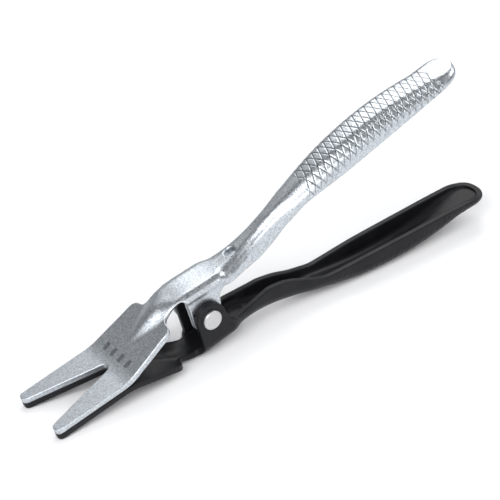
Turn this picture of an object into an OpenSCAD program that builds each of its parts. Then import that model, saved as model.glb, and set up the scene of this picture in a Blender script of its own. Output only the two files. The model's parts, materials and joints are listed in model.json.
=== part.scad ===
// Reverse-action hose separator pliers.
// One pressed-steel lever is used twice, turned half a turn about the length
// of the tool, so that on each side one lever's ear lies outside the other's.
// A single rivet joins the four ears. Squeezing the handles parts the jaws.
//
// Levers are drawn with the rivet axis on Y through the origin, the jaws
// meeting on the plane z = 0 and the handles running towards +X. The finished
// tool is then tilted to stand on the lower jaw tips and the lower handle.

/* [Sheet] */
// Thickness of the pressed sheet
sheet_t = 2.5; // [2:0.1:3]
// Clearance between the two jaws when they are closed
jaw_gap = 0.1; // [0.05:0.05:0.4]

/* [Fork] */
// Distance from the rivet axis forward to the tips of the tines
fork_reach = 75; // [66:1:84]
// Width over both tines
fork_w = 29; // [26:0.5:32]
// Width of one tine at its tip
tine_tip_w = 4.2; // [3.6:0.1:5]
// Radius of the tip corners of a tine
tine_tip_r = 1.7; // [0.8:0.1:1.8]
// Depth of the notch from the tips
notch_depth = 32.5; // [26:0.5:34]
// Width of the notch just before its rounded end
notch_root_w = 4.2; // [2:0.1:6]
// Where the flat jaw starts to bend, ahead of the rivet axis
bend_start = 45; // [43:0.5:48]
// Where that bend ends
bend_end = 38; // [36:0.5:40]
// Angle of the plate behind the bend
plate_angle = 19.8; // [17:0.1:21]

/* [Shoulder] */
// Distance from the rivet axis to the rear edge of the shoulders
shoulder_x = 18; // [17.5:0.1:19]
// Width over the shoulders
shoulder_w = 25.6; // [24:0.1:27]
// Corner radius of the shoulders
shoulder_r = 3.2; // [1:0.1:4]
// Where the central rib starts, ahead of the rivet axis
rib_start = 35; // [30:0.5:37]
// Height of the rib over the shoulders
rib_h = 2.6; // [2:0.1:3.6]
// Half width of the rib at the shoulders
rib_half_w = 8.6; // [7.5:0.1:9.5]

/* [Handle] */
// Distance from the rivet axis to the end of the handle
handle_reach = 137; // [133:1:141]
// Length of the rounded end of the handle
end_len = 10; // [7:0.5:12]
// Largest corner radius of the handle's channel
corner_r = 5.2; // [4:0.1:6]
// Diameter of the hole through the web
web_hole_d = 4.7; // [3:0.1:5]
// Distance of the web hole behind the rivet axis
web_hole_x = 20.3; // [18:0.1:23]

/* [Ears] */
// Distance from the middle of the tool to the outer face of an outer ear
ear_face_y = 9.4; // [9.2:0.1:10]
// Clearance between two neighbouring ears
ear_gap = 0.15; // [0.1:0.05:0.3]
// Front edge of the ears, ahead of the rivet axis
ear_front = 6.4; // [6:0.1:6.6]
// Rear edge of the ears where they leave the channel
ear_rear = 7.5; // [6.8:0.1:8]
// Radius of the rounded end of the ears about the rivet axis
ear_r = 6.7; // [6.6:0.1:7.2]
// Height of the channel's edge just behind the ears
ear_root_z = 8.2; // [7.4:0.1:8.8]
// Radius between the rear edge of an ear and the channel's edge
ear_fillet_r = 4.5; // [3:0.1:5]
// Height of the top of the relief between shoulder and ear
relief_z = 15.4; // [14.6:0.1:15.8]
// Distance from the middle of the tool to the inner side of the relief
relief_y = 6.6; // [6:0.1:7]
// Corner radius of the relief beside the shoulder
relief_corner_r = 2.4; // [1:0.1:3]

/* [Rivet] */
// Diameter of the rivet's shank
rivet_d = 6; // [5:0.1:6.4]
// Running clearance of the shank in the ears, on the radius
rivet_gap = 0.05; // [0.03:0.01:0.1]
// Diameter of both rivet heads
rivet_head_d = 8; // [7.4:0.1:9]
// Thickness of a rivet head
rivet_head_t = 1.3; // [1:0.1:2]
// Chamfer round the outer edge of a rivet head
rivet_chamfer = 0.35; // [0.2:0.05:0.6]

/* [View] */
// Piece to draw

/* [Hidden] */

zinc_colour = [0.80, 0.82, 0.86];
black_colour = [0.07, 0.07, 0.08];
steel_colour = [0.70, 0.70, 0.70];

// Longer than anything that a cutter has to go through
through = 80;
// Depth below the rivet axis at which the cutters start
under = 20;
// Overlap of a cutter past the face that it cuts
over = 1;

jaw_z = jaw_gap / 2;
inner_ear_y = ear_face_y - sheet_t - ear_gap;
plate_slope = tan(plate_angle);
end_x = handle_reach - end_len;

// Height of the channel's crown over the parting plane: [x, z]
crown_line = [
    [-18.5, 13], [-8, 14.8], [10, 14.5], [20, 15.4], [30, 18], [40, 21.5], [50, 24.9],
    [70, 31.1], [88, 34.5], [102, 35.6], [113, 35.4], [124, 34.7], [138, 34.6]
];
// Height of the channel's edge over the parting plane: [x, z]
edge_line = [
    [14, 7.4], [24, 7.4], [36, 10.2], [46, 15.4], [53, 18.7], [57, 19.7],
    [75, 21.9], [95, 24.7], [126, 29.2], [133, 30.9], [138, 31.6]
];
// Half width of the channel on the side of the outer ear: [x, half width]
outer_side_line = [
    [-8, 9.4], [8, 9.4], [13, 7.7], [20, 6.5], [30, 5.1], [41, 4.9],
    [50, 6.4], [60, 7.2], [80, 8], [127, 8.5]
];
// Half width of the channel on the side of the inner ear: [x, half width]
inner_side_line = [
    [-8, 7.3], [8, 7.3], [14, 7.6], [20, 6.6], [30, 5.1], [41, 4.9],
    [50, 6.4], [60, 7.2], [80, 8], [127, 8.5]
];

// Smooth curve through the points of a list
function span_of(pts, x, i = 0) =
    i >= len(pts) - 2 || x < pts[i + 1][0] ? i : span_of(pts, x, i + 1);
function chord(pts, i, j) = (pts[j][1] - pts[i][1]) / (pts[j][0] - pts[i][0]);
function tangent(pts, i) = chord(pts, max(i - 1, 0), min(i + 1, len(pts) - 1));
function along(pts, x) =
    let (i = span_of(pts, x))
    let (h = pts[i + 1][0] - pts[i][0])
    let (u = (x - pts[i][0]) / h)
    (1 + 2 * u) * pow(1 - u, 2) * pts[i][1] + u * pow(1 - u, 2) * h * tangent(pts, i)
    + u * u * (3 - 2 * u) * pts[i + 1][1] + u * u * (u - 1) * h * tangent(pts, i + 1);
function clamp(v) = min(1, max(0, v));
function ease(v) = clamp(v) * clamp(v) * (3 - 2 * clamp(v));

// Outer face of the jaw, flat to the bend and rising behind it
function plate_z(x) =
    jaw_z + sheet_t + plate_slope * (
        x < -bend_start ? 0
        : x < -bend_end ? pow(x + bend_start, 2) / (2 * (bend_start - bend_end))
        : x + (bend_start + bend_end) / 2
    );
function rib_ratio(x) = ease((x + rib_start) / (rib_start - shoulder_x + 1));

// Section of the jaw plate with its rib, as [y, z] from the inner-ear side on
steps = 24;
// The sheet is drawn wider than the jaw, which the plan outline then trims
function plate_y(x, j) = (fork_w / 2 + 2 * over) * (2 * j / steps - 1);
function rib_z(x, y) =
    let (v = clamp(abs(y) / (1.5 + (rib_half_w - 1.5) * rib_ratio(x))))
    rib_h * rib_ratio(x) * (1 + cos(180 * v)) / 2;
function plate_point(x, j) = [plate_y(x, j), plate_z(x) + rib_z(x, plate_y(x, j))];

// How far a station lies inside the stretch that holds the ears, 1 to 0
function ear_zone(x) = ease((13.5 - x) / 4);
function crown_z(x) = x < blend_x ? plate_z(x) + rib_h * rib_ratio(x) : along(crown_line, x);
// The walls run well past the ears here and are trimmed to shape afterwards
function ear_turn(outer_ear) = outer_ear ? 4.8 : sheet_t + 0.3;
function wall_edge_z(x, outer_ear = true) =
    x < -8.4 ? crown_z(x) - ear_turn(outer_ear) - 0.3
    : x < 13.6 ? -ear_r - over
    : along(edge_line, x);
function side_w(x, outer_ear) =
    min(ear_face_y, along(outer_ear ? outer_side_line : inner_side_line, max(x, -8)));
// Lengthens the sheet's thickness where the crown slopes
function stretch(x) = norm([1, (crown_z(x + 0.5) - crown_z(x - 0.5))]);

// Section of the channel: up one wall, over the crown and down the other wall
wall_steps = 5;
turn_steps = 5;
function wall_point(side, foot, top, edge, k) =
    k == 0 ? [foot, edge]
    : k == 1 ? [foot, edge + 0.35 * (top - edge)]
    : k == 2 ? [foot, top - min(2.2, 0.45 * (top - edge))]
    : k == 3 ? [(foot + side) / 2, top - min(1.2, 0.3 * (top - edge))]
    : [side, top - min(0.3, 0.1 * (top - edge))];
function half_point(side, foot, crown, edge, turn_y, turn_z, k) =
    k < wall_steps ? wall_point(side, foot, crown - turn_z, edge, k)
    : k <= wall_steps + turn_steps
        ? let (a = 90 * (k - wall_steps) / turn_steps)
          [side - turn_y * (1 - cos(a)), crown - turn_z * (1 - sin(a))]
    : [(side - turn_y) * (steps / 2 - k) / (steps / 2 - wall_steps - turn_steps), crown];
function channel_point(x, inset, j, squeeze = 1) =
    let (outer_ear = j > steps / 2)
    let (k = outer_ear ? steps - j : j)
    let (edge = wall_edge_z(x, outer_ear))
    let (depth = crown_z(x) - edge - inset * stretch(x))
    let (side = (side_w(x, outer_ear) - inset) * squeeze)
    let (joggle = outer_ear || x < -8.4 ? 0
        : max(0, side_w(x, false) - inner_ear_y) * ear_zone(x))
    let (turn = (1 - ear_zone(x)) * min(corner_r, 0.8 * (crown_z(x) - edge))
        + ear_turn(outer_ear) * ear_zone(x) - inset)
    let (turn_y = min(max(turn, 0.5), 0.8 * side))
    let (turn_z = min(max(turn, 0.5), 0.8 * depth))
    let (p = half_point(side, side - joggle, edge + depth, edge, turn_y, turn_z, k))
    [outer_ear ? p[0] : -p[0], p[1]];

// One point of the lever's outer face (inset 0) or inner face (inset sheet_t)
blend_x = -shoulder_x - 0.7;
function plate_share(x) = 1 - ease((x - blend_x) / (-8.5 - blend_x));
function skin_point(x, inset, j) =
    let (a = plate_point(x, j) - [0, inset * stretch(x)])
    x <= blend_x ? [x, a[0], a[1]]
    : let (b = channel_point(x, inset, j))
      let (m = plate_share(x) * a + (1 - plate_share(x)) * b)
      [x, m[0], m[1]];
// The end of the handle is rounded in plan, a little blunter than an ellipse
end_blunt = 0.8;
function end_point(angle, inset, j) =
    let (x = end_x + (end_len - inset) * pow(sin(angle), end_blunt))
    let (p = channel_point(x, inset, j, pow(cos(angle), end_blunt)))
    [x, p[0], p[1]];

stations = concat(
    [-fork_reach - over, -bend_start - 1],
    [for (i = [0:4]) -bend_start + (bend_start - bend_end) * i / 4],
    [-35.5, -33, -30.5, -28, -25.5, -23, -21, blend_x],
    [-16.7, -14.7, -12.5, -10.5, -8.5, -8, 0, 8, 9.5, 10.5, 11.5, 12.5, 13.5, 14],
    [for (x = [17:3:56]) x],
    [for (x = [60:6:120]) x],
    [end_x]
);
end_angles = [12, 28, 44, 58, 70, 80, 87];
rows = len(stations) + len(end_angles);
row_len = steps + 1;
skin = [
    for (inset = [0, sheet_t])
        for (i = [0:rows - 1])
            for (j = [0:steps])
                i < len(stations) ? skin_point(stations[i], inset, j)
                : end_point(end_angles[i - len(stations)], inset, j)
];
function outer_id(i, j) = i * row_len + j;
function inner_id(i, j) = (rows + i) * row_len + j;
function quad(a, b, c, d) = [[a, b, c], [a, c, d]];
last = rows - 1;
skin_quads = concat(
    [
        for (i = [0:last - 1])
            for (j = [0:steps - 1])
                quad(outer_id(i, j), outer_id(i, j + 1), outer_id(i + 1, j + 1), outer_id(i + 1, j))
    ],
    [
        for (i = [0:last - 1])
            for (j = [0:steps - 1])
                quad(inner_id(i, j), inner_id(i + 1, j), inner_id(i + 1, j + 1), inner_id(i, j + 1))
    ],
    [
        for (i = [0:last - 1])
            quad(outer_id(i, 0), outer_id(i + 1, 0), inner_id(i + 1, 0), inner_id(i, 0))
    ],
    [
        for (i = [0:last - 1])
            quad(outer_id(i, steps), inner_id(i, steps), inner_id(i + 1, steps),
                outer_id(i + 1, steps))
    ]
);
skin_faces = concat(
    [for (pair = skin_quads) for (f = pair) f],
    // Front edge of the jaw, then the closed end of the handle
    [concat([for (j = [0:steps]) inner_id(0, j)], [for (j = [steps:-1:0]) outer_id(0, j)])],
    [[for (j = [0:steps]) outer_id(last, j)]],
    [[for (j = [steps:-1:0]) inner_id(last, j)]],
    [[outer_id(last, 0), outer_id(last, steps), inner_id(last, steps), inner_id(last, 0)]]
);

// Turns a drawing in [x, z] into a cutter that runs across the tool
module across(y0, y1) {
    translate([0, y1, 0])
        rotate([90, 0, 0])
            linear_extrude(height = y1 - y0)
                children();
}

relief_r = (shoulder_x - ear_front) / 2;
relief_x = -(shoulder_x + ear_front) / 2;
// Where the trimming of the ears starts, between two stations of the sheet
trim_x = -9.3;

// Side view of one ear and the fillet behind it, before its front edge is cut
module ear_profile() {
    circle(r = ear_r, $fn = 96);
    polygon([
        [-ear_r, 0],
        [ear_r, 0],
        [ear_rear, ear_root_z - ear_fillet_r],
        [ear_rear, ear_root_z + over],
        [-ear_r, ear_root_z + over]
    ]);
    difference() {
        translate([ear_rear - over, ear_root_z - ear_fillet_r])
            square([ear_fillet_r + over, ear_fillet_r + over]);
        translate([ear_rear + ear_fillet_r, ear_root_z - ear_fillet_r])
            circle(r = ear_fillet_r, $fn = 48);
    }
}

// Everything below the channel's edge that is not an ear
module ear_trim() {
    across(-through / 2, through / 2)
        difference() {
            translate([trim_x, -under])
                square([39, under + ear_root_z]);
            ear_profile();
        }
}

// Side view of the relief between the shoulder and the front edge of the ears
module relief_profile() {
    translate([relief_x, relief_z - relief_r])
        circle(r = relief_r, $fn = 32);
    polygon([
        [-shoulder_x, -under],
        [-ear_front, -under],
        [-ear_front, relief_z - relief_r],
        [-shoulder_x, relief_z - relief_r]
    ]);
}

module relief() {
    corner = arc(-shoulder_x + relief_corner_r, relief_y + relief_corner_r, relief_corner_r, 180, 270);
    for (side = [0, 1])
        mirror([0, side, 0])
            intersection() {
                across(relief_y, through / 2)
                    relief_profile();
                translate([0, 0, -under])
                    linear_extrude(height = through)
                        polygon(concat(corner, [[0, relief_y], [0, through], [-shoulder_x, through]]));
            }
    // Frees the inner ear, which stands closer in than the relief
    across(-inner_ear_y - ear_gap / 2, inner_ear_y + ear_gap / 2)
        polygon([
            [trim_x, -under],
            [-ear_front, -under],
            [-ear_front, crown_z(trim_x) - sheet_t - 0.3],
            [trim_x, crown_z(trim_x) - sheet_t - 0.3]
        ]);
}

// Plan view of half of the jaw, from the root of the notch to the shoulder
function arc(x, y, r, from, to) =
    [for (i = [0:6]) let (a = from + (to - from) * i / 6) [x + r * cos(a), y + r * sin(a)]];
function plate_half_w(x) =
    fork_w / 2 + (shoulder_w - fork_w) / 2 * ease((x + bend_start) / (bend_start - shoulder_x));
tip_half = fork_w / 2 - tine_tip_w;
root_half = notch_root_w / 2;
root_x = -fork_reach + notch_depth - root_half;
flare = atan((tip_half - root_half) / (root_x + fork_reach));
half_outline = concat(
    arc(root_x, 0, root_half, 0, 90 - flare),
    arc(-fork_reach + tine_tip_r, tip_half + tine_tip_r * (1 - sin(flare)) / cos(flare),
        tine_tip_r, 270 - flare, 180),
    arc(-fork_reach + tine_tip_r, fork_w / 2 - tine_tip_r, tine_tip_r, 180, 90),
    [for (x = [-bend_start:3:-shoulder_x - shoulder_r - 2]) [x, plate_half_w(x)]],
    arc(-shoulder_x - shoulder_r, shoulder_w / 2 - shoulder_r, shoulder_r, 90, 0),
    [
        [-shoulder_x + over, shoulder_w / 2 - shoulder_r],
        [-shoulder_x + over, shoulder_w],
        [handle_reach + over, shoulder_w]
    ]
);
outline = concat(
    half_outline,
    [for (i = [len(half_outline) - 1:-1:1]) [half_outline[i][0], -half_outline[i][1]]]
);

// The pressed and trimmed sheet, before the holes are drilled
module lever_blank() {
    difference() {
        intersection() {
            polyhedron(points = skin, faces = skin_faces, convexity = 8);
            translate([0, 0, -under])
                linear_extrude(height = through)
                    polygon(outline);
        }
        relief();
        ear_trim();
    }
}

module lever() {
    difference() {
        // The handle's rounded end stops a hair short, so the length is set here
        resize([fork_reach + handle_reach, 0, 0])
            lever_blank();
        rotate([90, 0, 0])
            cylinder(h = through, d = rivet_d + 2 * rivet_gap, center = true, $fn = 64);
        translate([web_hole_x, 0, ear_root_z])
            cylinder(h = through, d = web_hole_d, $fn = 48);
    }
}

// Rivet with a factory head at -Y and a closed head at +Y
module rivet_shape() {
    head_y = ear_face_y;
    far_y = ear_face_y + ear_gap;
    r = rivet_d / 2;
    head_r = rivet_head_d / 2;
    rotate([90, 0, 0])
        rotate_extrude($fn = 96)
            polygon([
                [0, -far_y - rivet_head_t],
                [head_r - rivet_chamfer, -far_y - rivet_head_t],
                [head_r, -far_y - rivet_head_t + rivet_chamfer],
                [head_r, -far_y],
                [r, -far_y],
                [r, head_y],
                [head_r, head_y],
                [head_r, head_y + rivet_head_t - rivet_chamfer],
                [head_r - rivet_chamfer, head_y + rivet_head_t],
                [0, head_y + rivet_head_t]
            ]);
}

// Tilt at which the tool lies on the lower jaw, or on the bend behind it, and on
// the back of the lower handle: the flattest line that keeps both above the floor
front_rests = concat([[-fork_reach, jaw_z + sheet_t]], [for (x = [-20:0]) [x, crown_z(x)]]);
rear_rests = [for (x = [50:end_x]) [x, crown_z(x)]];
rest_tilt = min([
    for (f = front_rests)
        max([for (r = rear_rests) atan2(r[1] - f[1], r[0] - f[0])])
]);
function tilted(p) = [
    p[0] * cos(rest_tilt) - p[2] * sin(rest_tilt),
    p[1],
    p[0] * sin(rest_tilt) + p[2] * cos(rest_tilt)
];
lower_skin = [for (p = skin) tilted([p[0], -p[1], -p[2]])];
upper_skin = [for (p = skin) tilted(p)];
min_x = min([for (p = concat(lower_skin, upper_skin)) p[0]]);
max_x = max([for (p = concat(lower_skin, upper_skin)) p[0]]);
min_z = min([for (p = concat(front_rests, rear_rests)) tilted([p[0], 0, -p[1]])[2]]);

module standing() {
    translate([-(min_x + max_x) / 2, 0, -min_z])
        rotate([0, -rest_tilt, 0])
            children();
}

module upper_lever() {
    color(zinc_colour)
        standing()
            lever();
}

module lower_lever() {
    color(black_colour)
        standing()
            rotate([180, 0, 0])
                lever();
}

module pivot_rivet() {
    color(steel_colour)
        standing()
            rivet_shape();
}

upper_lever();
lower_lever();
pivot_rivet();
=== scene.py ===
"""Looks of a pair of hose separator pliers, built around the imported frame.

Both levers are one pressing used twice. Its sheet is described in millimetres in the
tool's own frame: the rivet axis is Y through the origin, the jaws meet on z = 0 and the
handles run towards +X. to_row() tilts it onto the row frame, in metres.
"""

import json
import math

import bmesh
import bpy
import numpy as np
from mathutils import Matrix, Vector
from mathutils.geometry import delaunay_2d_cdt


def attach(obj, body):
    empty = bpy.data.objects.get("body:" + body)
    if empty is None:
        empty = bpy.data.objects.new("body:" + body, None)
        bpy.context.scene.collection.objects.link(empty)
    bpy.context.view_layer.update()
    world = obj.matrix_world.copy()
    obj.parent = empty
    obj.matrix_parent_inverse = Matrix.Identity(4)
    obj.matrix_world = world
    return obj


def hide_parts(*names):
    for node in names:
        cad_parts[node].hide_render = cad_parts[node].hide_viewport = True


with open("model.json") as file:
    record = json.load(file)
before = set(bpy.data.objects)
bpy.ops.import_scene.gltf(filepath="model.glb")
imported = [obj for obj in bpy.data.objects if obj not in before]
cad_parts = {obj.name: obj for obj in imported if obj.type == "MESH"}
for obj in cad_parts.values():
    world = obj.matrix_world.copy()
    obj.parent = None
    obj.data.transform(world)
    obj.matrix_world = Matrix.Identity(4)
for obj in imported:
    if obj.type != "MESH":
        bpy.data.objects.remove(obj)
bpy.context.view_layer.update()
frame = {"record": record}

# ---------------------------------------------------------------- the row frame
MM = 0.001
RECORD = frame["record"]
PIVOT = np.array(RECORD["behaviour"]["joints"][0]["pos_m"])
JAW_AXIS = next(m["axis"] for m in RECORD["mounts"] if m["name"] == "upper_jaw_face")
TILT = math.atan2(-JAW_AXIS[0], JAW_AXIS[2])
TURN = np.array(
    [[math.cos(TILT), 0, -math.sin(TILT)], [0, 1, 0], [math.sin(TILT), 0, math.cos(TILT)]]
)


def to_row(points):
    """Points of the tool frame in millimetres, as points of the row frame in metres."""
    return np.asarray(points) @ TURN.T * MM + PIVOT


# ---------------------------------------------------------------- the pressed sheet
SHEET_T = 2.5
JAW_Z = 0.05
FORK_REACH = 75.0
FORK_W = 29.0
TINE_TIP_W = 4.2
TINE_TIP_R = 1.7
NOTCH_DEPTH = 32.5
NOTCH_ROOT_R = 2.1
BEND_START = 45.0
BEND_END = 38.0
PLATE_SLOPE = math.tan(math.radians(19.8))
SHOULDER_X = 18.0
SHOULDER_W = 25.6
SHOULDER_R = 3.2
RIB_START = 35.0
RIB_H = 2.6
RIB_HALF_W = 8.6
RIB_TIP_HALF_W = 1.5
HANDLE_REACH = 137.0
END_LEN = 10.0
END_X = HANDLE_REACH - END_LEN
END_BLUNT = 0.8
CORNER_R = 5.2
CORNER_LEAST_R = 0.5
CORNER_SHARE = 0.8  # the most of the channel's half width or depth that a corner takes
WEB_HOLE_R = 2.35
WEB_HOLE_X = 20.3
EAR_FACE_Y = 9.4
EAR_GAP = 0.15
INNER_EAR_Y = EAR_FACE_Y - SHEET_T - EAR_GAP
EAR_FRONT = 6.4
EAR_REAR = 7.5
EAR_R = 6.7
EAR_ROOT_Z = 8.2
EAR_FILLET_R = 4.5
EAR_TURN = (2.8, 4.8)  # corner radius over the inner ear and over the outer ear
RELIEF_Z = 15.4
RELIEF_Y = 6.6
RELIEF_CORNER_R = 2.4
EAR_ZONE_END = 13.5  # behind this x the channel no longer widens towards the ears
EAR_ZONE_FADE = 4.0
JOGGLE_LEN = 2.4
BLEND_X = -SHOULDER_X - 0.7  # from here to BLEND_END_X the plate turns into the channel
BLEND_END_X = -8.5
BORE_R = 3.05
BORE_RING = BORE_R + 0.25

# Height of the channel's crown and of its edge over the parting plane: [x, z]
CROWN_LINE = np.array([
    [-18.5, 13], [-8, 14.8], [10, 14.5], [20, 15.4], [30, 18], [40, 21.5], [50, 24.9],
    [70, 31.1], [88, 34.5], [102, 35.6], [113, 35.4], [124, 34.7], [138, 34.6],
])
EDGE_LINE = np.array([
    [14, 7.4], [24, 7.4], [36, 10.2], [46, 15.4], [53, 18.7], [57, 19.7],
    [75, 21.9], [95, 24.7], [126, 29.2], [133, 30.9], [138, 31.6],
])
# Half width of the channel on the inner ear's side and on the outer ear's side: [x, half width]
GRIP_SIDE = [[20, 6.6], [30, 5.1], [41, 4.9], [50, 6.4], [60, 7.2], [80, 8], [127, 8.5], [138, 8.6]]
SIDE_LINES = (
    np.array([[-8, 7.3], [8, 7.3], [14, 7.6]] + GRIP_SIDE),
    np.array([[-8, 9.4], [8, 9.4], [13, 7.7]] + GRIP_SIDE),
)


def along(line, x):
    """Smooth curve through the points of a line, at every x."""
    xs, zs = line[:, 0], line[:, 1]
    last = len(xs) - 1
    lo = np.maximum(np.arange(last + 1) - 1, 0)
    hi = np.minimum(np.arange(last + 1) + 1, last)
    slope = (zs[hi] - zs[lo]) / (xs[hi] - xs[lo])
    i = np.clip(np.searchsorted(xs, x, side="right") - 1, 0, last - 1)
    h = xs[i + 1] - xs[i]
    u = (np.asarray(x, float) - xs[i]) / h
    return (
        (1 + 2 * u) * (1 - u) ** 2 * zs[i] + u * (1 - u) ** 2 * h * slope[i]
        + u * u * (3 - 2 * u) * zs[i + 1] + u * u * (u - 1) * h * slope[i + 1]
    )


def ease(v):
    v = np.clip(v, 0.0, 1.0)
    return v * v * (3 - 2 * v)


def rib_ratio(x):
    return ease((x + RIB_START) / (RIB_START - SHOULDER_X + 1))


def plate_height(x):
    bend = (x + BEND_START) ** 2 / (2 * (BEND_START - BEND_END))
    straight = x + (BEND_START + BEND_END) / 2
    rise = np.where(x < -BEND_START, 0, np.where(x < -BEND_END, bend, straight))
    return JAW_Z + SHEET_T + PLATE_SLOPE * rise


def rib_height(x, y):
    half_w = RIB_TIP_HALF_W + (RIB_HALF_W - RIB_TIP_HALF_W) * rib_ratio(x)
    v = np.clip(np.abs(y) / half_w, 0, 1)
    return RIB_H * rib_ratio(x) * (1 + np.cos(np.pi * v)) / 2


def crown_height(x):
    return np.where(x < BLEND_X, plate_height(x) + RIB_H * rib_ratio(x), along(CROWN_LINE, x))


def edge_height(x):
    return np.maximum(EAR_ROOT_Z, along(EDGE_LINE, np.maximum(x, EDGE_LINE[0, 0])))


def ear_zone(x):
    return ease((EAR_ZONE_END - x) / EAR_ZONE_FADE)


def side_width(x, outer):
    lines = [along(line, np.maximum(x, line[0, 0])) for line in SIDE_LINES]
    return np.minimum(np.where(outer, lines[1], lines[0]), EAR_FACE_Y)


def stretch(x):
    """Height that each millimetre of thickness takes up where the crown slopes."""
    return np.hypot(1, crown_height(x + 0.5) - crown_height(x - 0.5))


def section(x, outer, inset, squeeze=1.0):
    """Half width, crown height and corner radii of the channel's section at x."""
    drop = inset * stretch(x)
    zone = ear_zone(x)
    depth = crown_height(x) - np.where(x < EDGE_LINE[0, 0], -EAR_R, edge_height(x)) - drop
    side = (side_width(x, outer) - inset) * squeeze
    corner = np.minimum(CORNER_R, CORNER_SHARE * (depth + drop))
    turn = (1 - zone) * corner + zone * np.where(outer, EAR_TURN[1], EAR_TURN[0]) - inset
    turn = np.maximum(turn, CORNER_LEAST_R)
    turn_y, turn_z = np.minimum(turn, CORNER_SHARE * side), np.minimum(turn, CORNER_SHARE * depth)
    return side, crown_height(x) - drop, turn_y, turn_z


def quarter_length(a, b):
    """Length of a quarter of an ellipse."""
    h = ((a - b) / (a + b)) ** 2
    return np.pi * (a + b) / 4 * (1 + 3 * h / (10 + np.sqrt(4 - 3 * h)))


def channel(x, s, inset, squeeze=1.0):
    """Point of the channel at x, a distance s round its section from the middle of the crown."""
    outer = s > 0
    side0, crown0, turn_y0, turn_z0 = section(x, outer, 0.0, squeeze)
    side, crown, turn_y, turn_z = section(x, outer, inset, squeeze)
    flat = side0 - turn_y0
    bend = quarter_length(turn_y0, turn_z0)
    d = np.abs(s)
    angle = np.clip((d - flat) / bend, 0, 1) * np.pi / 2
    wall = np.maximum(d - flat - bend, 0)
    y = np.where(d < flat, d / np.maximum(flat, 1e-6) * (side - turn_y),
                 side - turn_y + turn_y * np.sin(angle))
    joggle = np.maximum(side_width(x, False) - INNER_EAR_Y, 0) * ear_zone(x)
    y = y - np.where(outer, 0, joggle * ease(wall / JOGGLE_LEN))
    top0, top = crown0 - turn_z0, crown - turn_z
    z = crown - turn_z * (1 - np.cos(angle)) - wall + (top0 - top) * (1 - np.exp(-wall))
    return np.where(outer, y, -y), z


def sheet(x, s, inset):
    """Point of the outer face (inset 0) or inner face (inset SHEET_T) of the sheet."""
    x, s = np.broadcast_arrays(np.asarray(x, float), np.asarray(s, float))
    plate_z = plate_height(x) + rib_height(x, s) - inset * stretch(x)
    y, z = channel(x, s, inset)
    share = 1 - ease((x - BLEND_X) / (BLEND_END_X - BLEND_X))
    return np.stack([x, share * s + (1 - share) * y, share * plate_z + (1 - share) * z], -1)


# ---------------------------------------------------------------- outline of the sheet
def arc(cx, cz, r, start, end, count=14):
    a = np.radians(np.linspace(start, end, count))
    return np.stack([cx + r * np.cos(a), cz + r * np.sin(a)], -1)


# Distances from the middle of the crown at which heights and widths are looked up
PROBE = np.linspace(0, 34, 1361)
WIDTH_PROBE = PROBE[:600]


def s_of_height(x, z, sign):
    """Distance round the section at which the sheet comes down to z."""
    heights = sheet(x, sign * PROBE, 0.0)[:, 2]
    return sign * float(np.interp(-z, -heights, PROBE))


def s_of_width(x, y, sign):
    """Distance round the section at which the sheet is y from the middle of the tool."""
    widths = sheet(x, sign * WIDTH_PROBE, 0.0)[:, 1] * sign
    return sign * float(np.interp(y, np.maximum.accumulate(widths), WIDTH_PROBE))


def side_view_part(sign, start_x):
    """Outline seen from the side: channel edge, fillet, ear and relief, from start_x forward."""
    edge_end = EAR_REAR + EAR_FILLET_R + 0.2
    edge = [[x, float(edge_height(x))] for x in np.arange(start_x, edge_end, -1.0)]
    fillet_z = EAR_ROOT_Z - EAR_FILLET_R
    front = 180 - math.degrees(math.acos(EAR_FRONT / EAR_R))
    relief_r = (SHOULDER_X - EAR_FRONT) / 2
    relief_x = -(SHOULDER_X + EAR_FRONT) / 2
    parts = np.concatenate([
        edge,
        arc(EAR_REAR + EAR_FILLET_R, fillet_z, EAR_FILLET_R, 90, 180),
        arc(0, 0, EAR_R, 0, -front, 30),
        [[-EAR_FRONT, z] for z in np.arange(-1, RELIEF_Z - relief_r, 1.0)],
        arc(relief_x, RELIEF_Z - relief_r, relief_r, 0, 88, 40),
    ])
    points = [[x, s_of_height(x, z, sign)] for x, z in parts]
    # The relief ends where it reaches the side of the rib
    keep = [p for p in points if abs(sheet(p[0], p[1], 0.0)[1]) > RELIEF_Y or p[0] > -EAR_FRONT]
    return keep


def plan_view_part(sign, from_x):
    """Outline seen from above: relief, shoulder, jaw side, tine and notch, to its root."""
    tip_half = FORK_W / 2 - TINE_TIP_W
    root_x = -FORK_REACH + NOTCH_DEPTH - NOTCH_ROOT_R
    flare = math.degrees(math.atan((tip_half - NOTCH_ROOT_R) / (root_x + FORK_REACH)))
    tip_x = -FORK_REACH + TINE_TIP_R
    lean = math.radians(flare)
    inner_tip_y = tip_half + TINE_TIP_R * (1 - math.sin(lean)) / math.cos(lean)
    relief_end = -SHOULDER_X + RELIEF_CORNER_R
    side_x = np.arange(-SHOULDER_X - SHOULDER_R - 1, -BEND_START, -1.0)
    narrowing = ease((side_x + BEND_START) / (BEND_START - SHOULDER_X))
    side = np.stack([side_x, FORK_W / 2 + (SHOULDER_W - FORK_W) / 2 * narrowing], -1)
    parts = np.concatenate([
        [[x, RELIEF_Y] for x in np.arange(from_x - 0.6, relief_end, -0.6)],
        arc(relief_end, RELIEF_Y + RELIEF_CORNER_R, RELIEF_CORNER_R, 270, 180, 10),
        arc(-SHOULDER_X - SHOULDER_R, SHOULDER_W / 2 - SHOULDER_R, SHOULDER_R, 0, 90, 12),
        side,
        arc(tip_x, FORK_W / 2 - TINE_TIP_R, TINE_TIP_R, 90, 180, 10),
        arc(tip_x, inner_tip_y, TINE_TIP_R, 180, 270 - flare, 10),
        arc(root_x, 0, NOTCH_ROOT_R, 90 - flare, 0, 12),
    ])
    return [[x, s_of_width(x, y, sign) if x > BLEND_X else sign * y] for x, y in parts]


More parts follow.
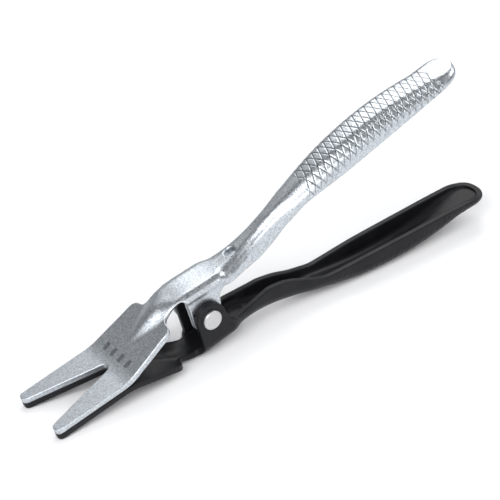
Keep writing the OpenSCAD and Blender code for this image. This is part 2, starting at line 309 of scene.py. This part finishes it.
def resample(points, step):
    """The same line with points about a step apart."""
    points = np.asarray(points, float)
    gaps = np.hypot(*np.diff(points, axis=0).T)
    points = points[np.concatenate([[True], gaps > 1e-4])]
    run = np.concatenate([[0], np.cumsum(np.hypot(*np.diff(points, axis=0).T))])
    at = np.linspace(0, run[-1], int(run[-1] / step) + 1)
    return np.stack([np.interp(at, run, points[:, k]) for k in (0, 1)], -1)


def soften(points, rounds):
    """Takes the sharpness off the corners of a line, with its ends held."""
    points = points.copy()
    for _ in range(rounds):
        points[1:-1] += 0.5 * ((points[:-2] + points[2:]) / 2 - points[1:-1])
    return points


def inset_line(points, distance, closed=False):
    """The line moved to its left by a distance."""
    if closed:
        ahead, behind = np.roll(points, -1, 0), np.roll(points, 1, 0)
    else:
        ahead = np.concatenate([points[1:], points[-1:]])
        behind = np.concatenate([points[:1], points[:-1]])
    direction = ahead - behind
    direction /= np.hypot(*direction.T)[:, None]
    return points + distance * np.stack([-direction[:, 1], direction[:, 0]], -1)


def inside(polygon, points):
    """Which points lie inside a closed polygon."""
    hit = np.zeros(len(points), bool)
    px, py = points[:, 0], points[:, 1]
    for (x0, y0), (x1, y1) in zip(polygon, np.roll(polygon, -1, 0)):
        if y0 == y1:
            continue
        crosses = (y0 > py) != (y1 > py)
        hit ^= crosses & (px < (x1 - x0) * (py - y0) / (y1 - y0) + x0)
    return hit


# ---------------------------------------------------------------- surface detail
GRIP_START_X = 56.0
GRIP_STOP_X = 127.5
KNURL_PITCH = 3.1
KNURL_LEAN = math.tan(math.radians(21))
KNURL_GROOVE_W = 0.16
KNURL_DEPTH = 0.18
KNURL_END_FADE = 2.5
# Distance down the side wall at which the knurl starts to fade, and over which it fades
KNURL_WALL = 0.4
KNURL_WALL_FADE = 2.0
MARK_X = (-39.4, -35.6)
MARK_YS = (-7.5, -2.5, 2.5, 7.5)
MARK_HALF_W = 0.95
MARK_SIDE_FADE = 0.3
MARK_END_FADE = 0.4
MARK_DEPTH = 0.07
# Share of the near-black painted shade that the stamped bars get in the zinc material
MARK_PAINTED_SHADE = 0.55


def knurl(x, s, wall):
    """The knurl, 0 to 1 in a groove: two sets of slanted grooves that cross on the crown."""
    depth = np.zeros_like(x)
    for lean in (KNURL_LEAN, -KNURL_LEAN):
        d = (x + lean * s) / KNURL_PITCH % 1.0 - 0.5
        d *= KNURL_PITCH * math.cos(math.atan(KNURL_LEAN))
        depth = np.maximum(depth, np.exp(-((d / KNURL_GROOVE_W) ** 2)))
    ends = ease((x - GRIP_START_X) / KNURL_END_FADE) * ease((GRIP_STOP_X - x) / KNURL_END_FADE)
    return depth * ends * (1 - ease((wall - KNURL_WALL) / KNURL_WALL_FADE))


def marks(x, y):
    """Four plain stamped bars across the sloped plate, 0 to 1 in a bar."""
    share = np.zeros_like(x)
    for middle in MARK_YS:
        across = 1 - ease((np.abs(y - middle) - MARK_HALF_W + MARK_SIDE_FADE / 2) / MARK_SIDE_FADE)
        lengthwise = ease((x - MARK_X[0]) / MARK_END_FADE) * ease((MARK_X[1] - x) / MARK_END_FADE)
        share += across * lengthwise
    return share


# ---------------------------------------------------------------- mesh of one lever
RIM_R = 0.45
RIM_ANGLES = (30, 60)
JOIN_X = 26.0
COLUMNS = 84
CELL = 0.75
RIM_STEP = 0.5
# The finer grid at the bars: its cell, its reach past them, its half width and the gap round it
FINE_CELL = 0.2
FINE_REACH = 0.4
FINE_HALF_W = 8.8
FINE_GAP = 0.5
# How far inside a rim its spare line of points runs
SPARE_GAP = 0.3
HOLE_SPARE_GAP = 0.35
# How far the even grid of points stays from each rim, the closing column and a bore's ring
EDGE_CLEAR = 0.65
HOLE_CLEAR = 0.8
JOIN_CLEAR = 0.4
BORE_CLEAR = 0.35
# More than the length of the sheet's section from the crown to an ear's end
SHEET_HALF_LENGTH = 32


class MeshParts:
    """Collects points and faces of one mesh."""

    def __init__(self):
        self.points, self.grooves, self.faces, self.count = [], [], [], 0

    def add(self, points, groove=0.0):
        """Adds points, with how far each lies in a groove or a bar, and returns their ids."""
        points = np.asarray(points, float).reshape(-1, 3)
        first = self.count
        self.points.append(points)
        self.grooves.append(np.zeros(len(points)) + np.ravel(groove))
        self.count += len(points)
        return np.arange(first, self.count)

    def strip(self, a, b, closed=False):
        """Quads between two rows of points."""
        pairs = list(zip(range(len(a)), range(1, len(a)))) + ([(len(a) - 1, 0)] if closed else [])
        self.faces += [(a[i], a[j], b[j], b[i]) for i, j in pairs]

    def grid(self, ids):
        for row, following in zip(ids, ids[1:]):
            self.strip(row, following)


def rounded_rim(parts, outer_in, outer_out, inner_out, inner_in, ids_outer, ids_inner, closed=False):
    """The sheet's edge, rounded over from the outer face to the inner face."""
    thickness = np.linalg.norm(inner_out - outer_out, axis=1)[:, None]
    share = RIM_R / thickness
    rows = [ids_outer]
    for face_in, corner, toward in ((outer_in, outer_out, inner_out), (inner_in, inner_out, outer_out)):
        low = corner + (toward - corner) * share
        bent = [
            corner + (face_in - corner) * (1 - math.sin(math.radians(a)))
            + (low - corner) * (1 - math.cos(math.radians(a)))
            for a in RIM_ANGLES
        ]
        made = [parts.add(p) for p in bent + [low]]
        rows += made if face_in is outer_in else made[::-1]
    rows.append(ids_inner)
    for a, b in zip(rows, rows[1:]):
        parts.strip(a, b, closed)


def circle(centre_x, centre_s, r, count=48):
    """Points round a circle on the flat sheet."""
    turns = np.radians(np.linspace(0, 360, count + 1)[:-1])
    return np.stack([centre_x + r * np.cos(turns), centre_s + r * np.sin(turns)], -1)


def sheet_edge():
    """The trimmed edge up to JOIN_X: outer ear's side, round the fork, back on the inner ear's side."""
    sides = []
    for sign in (1, -1):
        side_view = side_view_part(sign, JOIN_X)
        plan_view = plan_view_part(sign, side_view[-1][0])
        sides.append(soften(resample(side_view + plan_view, RIM_STEP), 3))
    edge = np.concatenate([sides[0][:-1], sides[1][::-1]])
    edge[len(sides[0]) - 1, 1] = 0
    return edge


def closing_column(rim):
    """Points across the sheet at JOIN_X, which the first row of the handle meets."""
    column_s = np.linspace(rim[-1, 1], rim[0, 1], COLUMNS + 1)[1:-1]
    return np.stack([np.full(COLUMNS - 1, JOIN_X), column_s], -1)


def field_points(edge, bore_rings):
    """An even grid of points on the sheet, finer at the bars and clear of every edge."""
    xs = np.arange(-FORK_REACH, JOIN_X, CELL)
    ss = np.arange(-SHEET_HALF_LENGTH, SHEET_HALF_LENGTH, CELL)
    field = np.stack(np.meshgrid(xs, ss), -1).reshape(-1, 2)
    from_bars = np.abs(field[:, 0] - sum(MARK_X) / 2) - (MARK_X[1] - MARK_X[0]) / 2
    in_fine = (from_bars < FINE_REACH + FINE_GAP) & (np.abs(field[:, 1]) < FINE_HALF_W + FINE_GAP)
    last = FINE_CELL / 2
    fine_xs = np.arange(MARK_X[0] - FINE_REACH, MARK_X[1] + FINE_REACH + last, FINE_CELL)
    fine_ss = np.arange(-FINE_HALF_W, FINE_HALF_W + last, FINE_CELL)
    fine = np.stack(np.meshgrid(fine_xs, fine_ss), -1).reshape(-1, 2)
    field = np.concatenate([field[~in_fine], fine])
    core = inset_line(edge, RIM_R + EDGE_CLEAR)
    last_x = JOIN_X - JOIN_CLEAR
    core = np.concatenate([core, [[last_x, core[-1, 1]], [last_x, core[0, 1]]]])
    field = field[inside(core, field)]
    from_hole = np.hypot(field[:, 0] - WEB_HOLE_X, field[:, 1])
    field = field[from_hole > WEB_HOLE_R + RIM_R + HOLE_CLEAR]
    for ring in bore_rings:
        from_bore = np.hypot(*(field - ring.mean(0)).T)
        field = field[np.abs(from_bore - BORE_RING) > BORE_CLEAR]
    return field


def triangulate(border, hole_rim, bore_rings, extra):
    """Triangles between the border and the holes, turned the same way, over all the points given.

    Also says which new point each given point became."""
    loops = [border, hole_rim] + bore_rings
    edges, first = [], 0
    for loop in loops:
        n = len(loop)
        edges += [(first + i, first + (i + 1) % n) for i in range(n)]
        first += n
    given = [Vector(p) for p in np.concatenate(loops + extra)]
    verts, _, tris, origin, _, _ = delaunay_2d_cdt(given, edges, [], 0, 1e-6)
    verts = np.array([v[:] for v in verts])
    tris = np.array([t for t in tris if len(t) == 3])
    middles = verts[tris].mean(1)
    keep = inside(border, middles)
    for loop in loops[1:]:
        keep &= ~inside(loop, middles)
    tris = tris[keep]
    first_side, second_side = verts[tris[:, 1]] - verts[tris[:, 0]], verts[tris[:, 2]] - verts[tris[:, 0]]
    backward = first_side[:, 0] * second_side[:, 1] < first_side[:, 1] * second_side[:, 0]
    tris[backward] = tris[backward][:, ::-1]
    became = {old: new for new, olds in enumerate(origin) for old in olds}
    return verts, tris, np.array([became[i] for i in range(first)])


def sheet_normal(points):
    """Outward normals of the sheet's outer face."""
    step = 1e-3
    base = sheet(*points.T, 0.0)
    along_x = sheet(points[:, 0] + step, points[:, 1], 0.0) - base
    along_s = sheet(points[:, 0], points[:, 1] + step, 0.0) - base
    normal = np.cross(along_x, along_s)
    return normal / np.linalg.norm(normal, axis=1)[:, None]


def front_part(parts):
    """The forked jaw, plate, shoulders, ears and neck, up to JOIN_X."""
    edge = sheet_edge()
    rim = inset_line(edge, RIM_R)
    rim[0, 0] = rim[-1, 0] = JOIN_X
    border = np.concatenate([rim, closing_column(rim)])
    hole = circle(WEB_HOLE_X, 0, WEB_HOLE_R)
    hole_rim = circle(WEB_HOLE_X, 0, WEB_HOLE_R + RIM_R)
    bore_rings = [circle(0, s_of_height(0.0, 0.0, sign), BORE_RING) for sign in (1, -1)]
    # Spare lines just inside the rims keep the triangles there well shaped
    hole_spare = circle(WEB_HOLE_X, 0, WEB_HOLE_R + RIM_R + HOLE_SPARE_GAP)
    edge_spare = inset_line(edge, RIM_R + SPARE_GAP)[2:-2]
    extra = [hole_spare, edge_spare, field_points(edge, bore_rings)]
    flat, tris, became = triangulate(border, hole_rim, bore_rings, extra)

    bars = marks(*flat.T)
    outer = sheet(*flat.T, 0.0) - sheet_normal(flat) * MARK_DEPTH * bars[:, None]
    # The bars' share also sets how much painted shade the zinc material puts on them
    ids_outer = parts.add(outer, MARK_PAINTED_SHADE * bars)
    ids_inner = parts.add(sheet(*flat.T, SHEET_T))
    for a, b, c in tris:
        parts.faces.append((ids_outer[a], ids_outer[b], ids_outer[c]))
        parts.faces.append((ids_inner[a], ids_inner[c], ids_inner[b]))

    rims = ((rim, edge, 0, False), (hole_rim, hole, len(border), True))
    for loop_in, loop_out, first, closed in rims:
        ids = became[first:first + len(loop_in)]
        rounded_rim(
            parts, sheet(*loop_in.T, 0.0), sheet(*loop_out.T, 0.0), sheet(*loop_out.T, SHEET_T),
            sheet(*loop_in.T, SHEET_T), ids_outer[ids], ids_inner[ids], closed,
        )
    first = len(border) + len(hole_rim)
    for ring in bore_rings:
        ids = became[first:first + len(ring)]
        first += len(ring)
        centre = ring.mean(0)
        bore = centre + (ring - centre) * BORE_R / BORE_RING
        mouth = [parts.add(sheet(*bore.T, inset)) for inset in (0.0, SHEET_T)]
        rows = [ids_outer[ids]] + mouth + [ids_inner[ids]]
        for a, b in zip(rows, rows[1:]):
            parts.strip(a, b, True)


PLAIN_STEP = 0.7
KNURL_STEP = 0.18
END_ROWS = 30


def grip_rows():
    """Stations along the handle, as (x, squeeze, x of the inner face), close where the knurl is."""
    knurl_from = GRIP_START_X - 0.5
    plain = np.arange(JOIN_X, knurl_from, PLAIN_STEP)
    fine = np.arange(knurl_from, END_X, KNURL_STEP)
    xs = np.concatenate([plain, fine, [END_X]])
    rows = [(x, 1.0, x) for x in xs]
    for angle in np.radians(np.linspace(0, 90, END_ROWS + 1)[1:]):
        reach = math.sin(angle) ** END_BLUNT
        squeeze = max(math.cos(angle), 0.0) ** END_BLUNT
        squeeze = 0.0 if squeeze < 1e-6 else squeeze
        rows.append((END_X + END_LEN * reach, squeeze, END_X + (END_LEN - SHEET_T) * reach))
    return rows


CROWN_FALL = 0.7
CROWN_FROM_X = 44.0
CROWN_FULL_X = 56.0


def crown_fall(x, y, z):
    """How far the grip's slightly crowned back lies below a flat one: nothing at the sheet's edge."""
    edge = float(edge_height(x))
    share = np.clip((z - edge) / (float(crown_height(x)) - edge), 0, 1)
    start = ease((x - CROWN_FROM_X) / (CROWN_FULL_X - CROWN_FROM_X))
    return CROWN_FALL * start * (y / float(side_width(x, True))) ** 2 * share


def grip_row(x, inset, squeeze):
    """One row of the handle, from the inner ear's edge over the crown to the outer ear's edge."""
    points, wall_run, run = [], [], []
    squeeze = max(squeeze, 1e-5)
    for sign in (-1, 1):
        side, crown, turn_y, turn_z = section(np.float64(x), sign > 0, 0.0, squeeze)
        flat, bend = side - turn_y, quarter_length(turn_y, turn_z)
        wall = max(crown - turn_z - float(edge_height(x)), 0.0)
        total = flat + bend + wall
        shares = np.linspace(0, total - RIM_R, COLUMNS // 2 + 1)
        s = np.concatenate([shares, [total]])
        y, z = channel(np.full(len(s), float(x)), sign * np.maximum(s, 1e-9), inset, squeeze)
        z = z - crown_fall(x, y, z)
        order = slice(None, None, -1) if sign < 0 else slice(1, None)
        points.append(np.stack([np.full(len(s), float(x)), y, z], -1)[order])
        wall_run.append((s - flat - bend)[order])
        run.append((sign * s)[order])
    return np.concatenate(points), np.concatenate(run), np.concatenate(wall_run)


def handle_part(parts):
    """The channel handle from JOIN_X to its rounded end, with the knurl on its outer face."""
    outer, inner, runs, walls = [], [], [], []
    for x, squeeze, inner_x in grip_rows():
        row, run, wall = grip_row(x, 0.0, squeeze)
        under, _, _ = grip_row(x, SHEET_T, squeeze)
        under[:, 0] = inner_x
        outer.append(row)
        inner.append(under)
        runs.append(run)
        walls.append(wall)
    outer, inner, runs, walls = map(np.array, (outer, inner, runs, walls))
    normal = np.cross(np.gradient(outer, axis=0), np.gradient(outer, axis=1))
    normal /= np.maximum(np.linalg.norm(normal, axis=2), 1e-12)[..., None]
    groove = knurl(outer[..., 0], runs, walls)
    outer = outer - normal * KNURL_DEPTH * groove[..., None]
    # The knurl's groove share also sets how much painted shade the zinc material puts into its grooves
    ids_outer = parts.add(outer[:, 1:-1], groove[:, 1:-1]).reshape(len(outer), -1)
    ids_inner = parts.add(inner[:, 1:-1]).reshape(len(inner), -1)
    parts.grid(ids_outer)
    parts.grid(ids_inner[:, ::-1])
    for column, sense in ((0, 1), (-1, -1)):
        near = 1 if column == 0 else -2
        rounded_rim(
            parts, outer[::sense, near], outer[::sense, column], inner[::sense, column],
            inner[::sense, near], ids_outer[::sense, column], ids_inner[::sense, column],
        )


def lever_points():
    """Points, faces and groove depths of the upper lever, in the tool frame."""
    parts = MeshParts()
    front_part(parts)
    handle_part(parts)
    return np.concatenate(parts.points), parts.faces, np.concatenate(parts.grooves)


def make_object(name, points, faces, material, weld=None, grooves=None):
    """A smooth mesh object from row-frame points."""
    mesh = bpy.data.meshes.new(name)
    mesh.from_pydata(points.tolist(), [], [tuple(int(i) for i in f) for f in faces])
    if grooves is not None:
        layer = mesh.attributes.new("groove", "FLOAT", "POINT")
        layer.data.foreach_set("value", grooves.astype(np.float32))
    obj = bpy.data.objects.new(name, mesh)
    bpy.context.scene.collection.objects.link(obj)
    mesh.materials.append(material)
    if weld:
        bm = bmesh.new()
        bm.from_mesh(mesh)
        bmesh.ops.remove_doubles(bm, verts=bm.verts, dist=weld)
        bmesh.ops.recalc_face_normals(bm, faces=bm.faces)
        bm.to_mesh(mesh)
        bm.free()
    mesh.polygons.foreach_set("use_smooth", [True] * len(mesh.polygons))
    return obj


# ---------------------------------------------------------------- materials
def new_material(name):
    material = bpy.data.materials.new(name)
    material.use_nodes = True
    nodes = material.node_tree.nodes
    return material, nodes, material.node_tree.links, nodes["Principled BSDF"]


def noise(nodes, links, coords, scale, detail):
    texture = nodes.new("ShaderNodeTexNoise")
    texture.inputs["Scale"].default_value = scale
    texture.inputs["Detail"].default_value = detail
    links.new(coords.outputs["Object"], texture.inputs["Vector"])
    return texture


def ramp(nodes, links, source, stops):
    node = nodes.new("ShaderNodeValToRGB")
    node.color_ramp.elements[0].position, node.color_ramp.elements[0].color = stops[0]
    node.color_ramp.elements[1].position, node.color_ramp.elements[1].color = stops[1]
    links.new(source, node.inputs["Fac"])
    return node


def spread(nodes, links, source, low, high):
    """Takes the usual spread of a noise to a range of values."""
    node = nodes.new("ShaderNodeMapRange")
    node.inputs["From Min"].default_value = 0.3
    node.inputs["From Max"].default_value = 0.7
    node.inputs["To Min"].default_value = low
    node.inputs["To Max"].default_value = high
    links.new(source, node.inputs["Value"])
    return node


def bump(nodes, links, source, shader, strength, distance):
    node = nodes.new("ShaderNodeBump")
    node.inputs["Strength"].default_value = strength
    node.inputs["Distance"].default_value = distance
    links.new(source, node.inputs["Height"])
    links.new(node.outputs["Normal"], shader.inputs["Normal"])
    return node


# Near-black colour painted into the knurl's grooves and onto the stamped bars as shade
GROOVE_PAINTED_SHADE = (0.09, 0.10, 0.10, 1)
# Row-frame x in metres and roughness where the jaw's satin finish ends and the handle's begins
JAW_FINISH = (-0.066, 0.40)
HANDLE_FINISH = (-0.046, 0.31)


def zinc_plate():
    """Bright zinc over pressed steel: fine mottled grain, cool tint, low contrast, with painted shade in
    the knurl's grooves and on the bars.
    """
    material, nodes, links, shader = new_material("zinc_plate")
    coords = nodes.new("ShaderNodeTexCoord")
    shader.inputs["Metallic"].default_value = 1.0
    grain = noise(nodes, links, coords, scale=1500, detail=2)
    colour = ramp(nodes, links, grain.outputs["Fac"], (
        (0.34, (0.42, 0.45, 0.49, 1)), (0.66, (0.66, 0.70, 0.73, 1))
    ))
    # Painted shade: the colour is darkened towards a near-black in the knurl's grooves and on the stamped
    # bars, as far as the groove attribute says
    groove = nodes.new("ShaderNodeAttribute")
    groove.attribute_name = "groove"
    groove_shade = nodes.new("ShaderNodeMix")
    groove_shade.data_type = "RGBA"
    links.new(groove.outputs["Fac"], groove_shade.inputs["Factor"])
    links.new(colour.outputs["Color"], groove_shade.inputs["A"])
    groove_shade.inputs["B"].default_value = GROOVE_PAINTED_SHADE
    links.new(groove_shade.outputs["Result"], shader.inputs["Base Color"])
    rough = spread(nodes, links, grain.outputs["Fac"], low=-0.04, high=0.04)
    # The pressed jaw is satin and the handle brighter
    separate = nodes.new("ShaderNodeSeparateXYZ")
    links.new(coords.outputs["Object"], separate.inputs["Vector"])
    finish = nodes.new("ShaderNodeMapRange")
    finish.inputs["From Min"].default_value, finish.inputs["To Min"].default_value = JAW_FINISH
    finish.inputs["From Max"].default_value, finish.inputs["To Max"].default_value = HANDLE_FINISH
    links.new(separate.outputs["X"], finish.inputs["Value"])
    total = nodes.new("ShaderNodeMath")
    links.new(rough.outputs["Result"], total.inputs[0])
    links.new(finish.outputs["Result"], total.inputs[1])
    links.new(total.outputs["Value"], shader.inputs["Roughness"])
    bump(nodes, links, grain.outputs["Fac"], shader, strength=0.50, distance=0.00015)
    return material


def black_coat():
    """Semi-gloss black coat with a slight orange peel."""
    material, nodes, links, shader = new_material("black_coat")
    coords = nodes.new("ShaderNodeTexCoord")
    tint = noise(nodes, links, coords, scale=90, detail=3)
    colour = ramp(nodes, links, tint.outputs["Fac"], (
        (0.3, (0.006, 0.006, 0.007, 1)), (0.7, (0.012, 0.012, 0.014, 1))
    ))
    links.new(colour.outputs["Color"], shader.inputs["Base Color"])
    shader.inputs["Specular IOR Level"].default_value = 0.20
    peel = noise(nodes, links, coords, scale=900, detail=4)
    rough = spread(nodes, links, peel.outputs["Fac"], low=0.30, high=0.42)
    links.new(rough.outputs["Result"], shader.inputs["Roughness"])
    bump(nodes, links, peel.outputs["Fac"], shader, strength=0.12, distance=0.0001)
    return material


def rivet_steel():
    """Plain pressed steel with a matt grain."""
    material, nodes, links, shader = new_material("rivet_steel")
    coords = nodes.new("ShaderNodeTexCoord")
    shader.inputs["Metallic"].default_value = 1.0
    grain = noise(nodes, links, coords, scale=1600, detail=4)
    colour = ramp(nodes, links, grain.outputs["Fac"], (
        (0.3, (0.52, 0.52, 0.52, 1)), (0.7, (0.66, 0.66, 0.66, 1))
    ))
    links.new(colour.outputs["Color"], shader.inputs["Base Color"])
    rough = spread(nodes, links, grain.outputs["Fac"], low=0.42, high=0.58)
    links.new(rough.outputs["Result"], shader.inputs["Roughness"])
    bump(nodes, links, grain.outputs["Fac"], shader, strength=0.25, distance=0.00015)
    return material


# ---------------------------------------------------------------- pieces
def make_levers():
    points, faces, grooves = lever_points()
    for name, body, node, turned, slot, material in (
        ("upper_pressing", "upper", "upper_lever", 1, "zinc_plate", zinc_plate()),
        ("lower_pressing", "lower", "lower_lever", -1, "black_coat", black_coat()),
    ):
        placed = to_row(points * np.array([1, turned, turned]))
        lever = make_object(name, placed, faces, material, weld=2e-6, grooves=grooves)
        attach(lever, body)
        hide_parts(node)


RIVET_R = 3.0
HEAD_R = 4.0
HEAD_T = 1.3
HEAD_CHAMFER = 0.35
SEGMENTS = 128


def make_rivet():
    """Lathed rivet with a barely domed head at each end and rounded chamfers."""
    near, far = EAR_FACE_Y, EAR_FACE_Y + EAR_GAP
    # One head as [radius, height over the ear], from its middle outwards
    half = [
        (0.0, HEAD_T), (1.5, HEAD_T), (2.6, HEAD_T - 0.01),
        (HEAD_R - HEAD_CHAMFER - 0.1, HEAD_T - 0.03), (HEAD_R - HEAD_CHAMFER, HEAD_T - 0.06),
        (HEAD_R - 0.06, HEAD_T - HEAD_CHAMFER), (HEAD_R, HEAD_T - HEAD_CHAMFER - 0.1),
        (HEAD_R, 0.12), (HEAD_R - 0.05, 0.02), (HEAD_R - 0.1, 0.0),
    ]
    profile = [(r, -near - t) for r, t in half] + [(RIVET_R, -near)]
    profile += [(RIVET_R, far)] + [(r, far + t) for r, t in half[::-1]]
    angles = np.linspace(0, 2 * np.pi, SEGMENTS, endpoint=False)
    points, faces = [], []
    for r, y in profile:
        points += [(r * math.cos(a), y, r * math.sin(a)) for a in angles]
    for i in range(len(profile) - 1):
        for j in range(SEGMENTS):
            k = (j + 1) % SEGMENTS
            a, b = i * SEGMENTS, (i + 1) * SEGMENTS
            faces.append((a + j, a + k, b + k, b + j))
    rivet = make_object("rivet", to_row(np.array(points)), faces, rivet_steel(), weld=1e-7)
    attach(rivet, "lower")
    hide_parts("pivot_rivet")


# ---------------------------------------------------------------- stage
# Where the camera stands in the tool frame, its own axes there and its lens
CAMERA_AT = (-219.80, -533.13, 485.23)
CAMERA_TURN = (2.095, -0.824, 0.066)
FOCAL_LENGTH = 140.9


def make_camera():
    data = bpy.data.cameras.new("camera")
    camera = bpy.data.objects.new("camera", data)
    bpy.context.scene.collection.objects.link(camera)
    turn = Vector(CAMERA_TURN)
    looking = np.array(Matrix.Rotation(turn.length, 3, turn.normalized()))
    axes = np.stack([looking[0], -looking[1], -looking[2]]) @ TURN.T
    place = Matrix([list(row) for row in axes]).transposed().to_4x4()
    place.translation = Vector(to_row(np.array(CAMERA_AT)))
    camera.matrix_world = place
    data.sensor_width = 36
    data.lens = FOCAL_LENGTH
    data.clip_start, data.clip_end = 0.01, 20
    bpy.context.scene.camera = camera


LIGHTS_AIM = (0.02, 0, 0.02)


def area_light(name, place, size, power):
    data = bpy.data.lights.new(name, "AREA")
    data.shape = "RECTANGLE"
    data.size, data.size_y = size
    data.energy = power
    light = bpy.data.objects.new(name, data)
    light.location = place
    light.rotation_mode = "QUATERNION"
    light.rotation_quaternion = (Vector(LIGHTS_AIM) - Vector(place)).to_track_quat("-Z", "Y")
    bpy.context.scene.collection.objects.link(light)


SKY_TOWARD = (0.60, 0.70, 0.25)
SKY_DARK = 0.22
SKY_BRIGHT = 0.44


def make_world():
    """Soft studio surroundings, brighter behind the object than on the camera's side."""
    world = bpy.data.worlds.new("studio")
    world.use_nodes = True
    nodes, links = world.node_tree.nodes, world.node_tree.links
    coords = nodes.new("ShaderNodeTexCoord")
    toward = nodes.new("ShaderNodeVectorMath")
    toward.operation = "DOT_PRODUCT"
    toward.inputs[1].default_value = Vector(SKY_TOWARD).normalized()
    links.new(coords.outputs["Generated"], toward.inputs[0])
    strength = nodes.new("ShaderNodeMapRange")
    strength.interpolation_type = "SMOOTHSTEP"
    strength.inputs["From Min"].default_value = 0.2
    strength.inputs["From Max"].default_value = 0.9
    strength.inputs["To Min"].default_value = SKY_DARK
    strength.inputs["To Max"].default_value = SKY_BRIGHT
    links.new(toward.outputs["Value"], strength.inputs["Value"])
    background = nodes["Background"]
    background.inputs["Color"].default_value = (0.97, 0.98, 1, 1)
    links.new(strength.outputs["Result"], background.inputs["Strength"])
    bpy.context.scene.world = world


def make_stage():
    floor_mesh = bpy.data.meshes.new("floor")
    reach = 3.0
    corners = [(-reach, -reach, 0), (reach, -reach, 0), (reach, reach, 0), (-reach, reach, 0)]
    floor_mesh.from_pydata(corners, [], [(0, 1, 2, 3)])
    floor = bpy.data.objects.new("floor", floor_mesh)
    bpy.context.scene.collection.objects.link(floor)
    material, _, _, shader = new_material("floor")
    shader.inputs["Base Color"].default_value = (0.93, 0.93, 0.94, 1)
    shader.inputs["Roughness"].default_value = 0.8
    floor_mesh.materials.append(material)

    make_world()
    area_light("main", (0.31, 0.41, 0.63), (0.50, 0.56), 2.3)
    area_light("crown", (-0.10, 0.66, 0.66), (0.20, 0.24), 0.12)
    area_light("neck", (-0.48, -0.32, 0.70), (0.66, 0.38), 2.4)
    area_light("front", (-0.55, -0.86, 0.72), (0.50, 0.50), 3.2)
    area_light("low", (-0.12, -1.30, 0.30), (0.80, 0.50), 4.2)
    area_light("right", (1.40, -0.60, 1.20), (1.0, 1.0), 13.0)
    area_light("left", (-1.40, -0.50, 1.10), (1.0, 1.0), 11.0)
    bpy.context.scene.view_settings.view_transform = "Standard"


make_camera()
make_levers()
make_rivet()
make_stage()
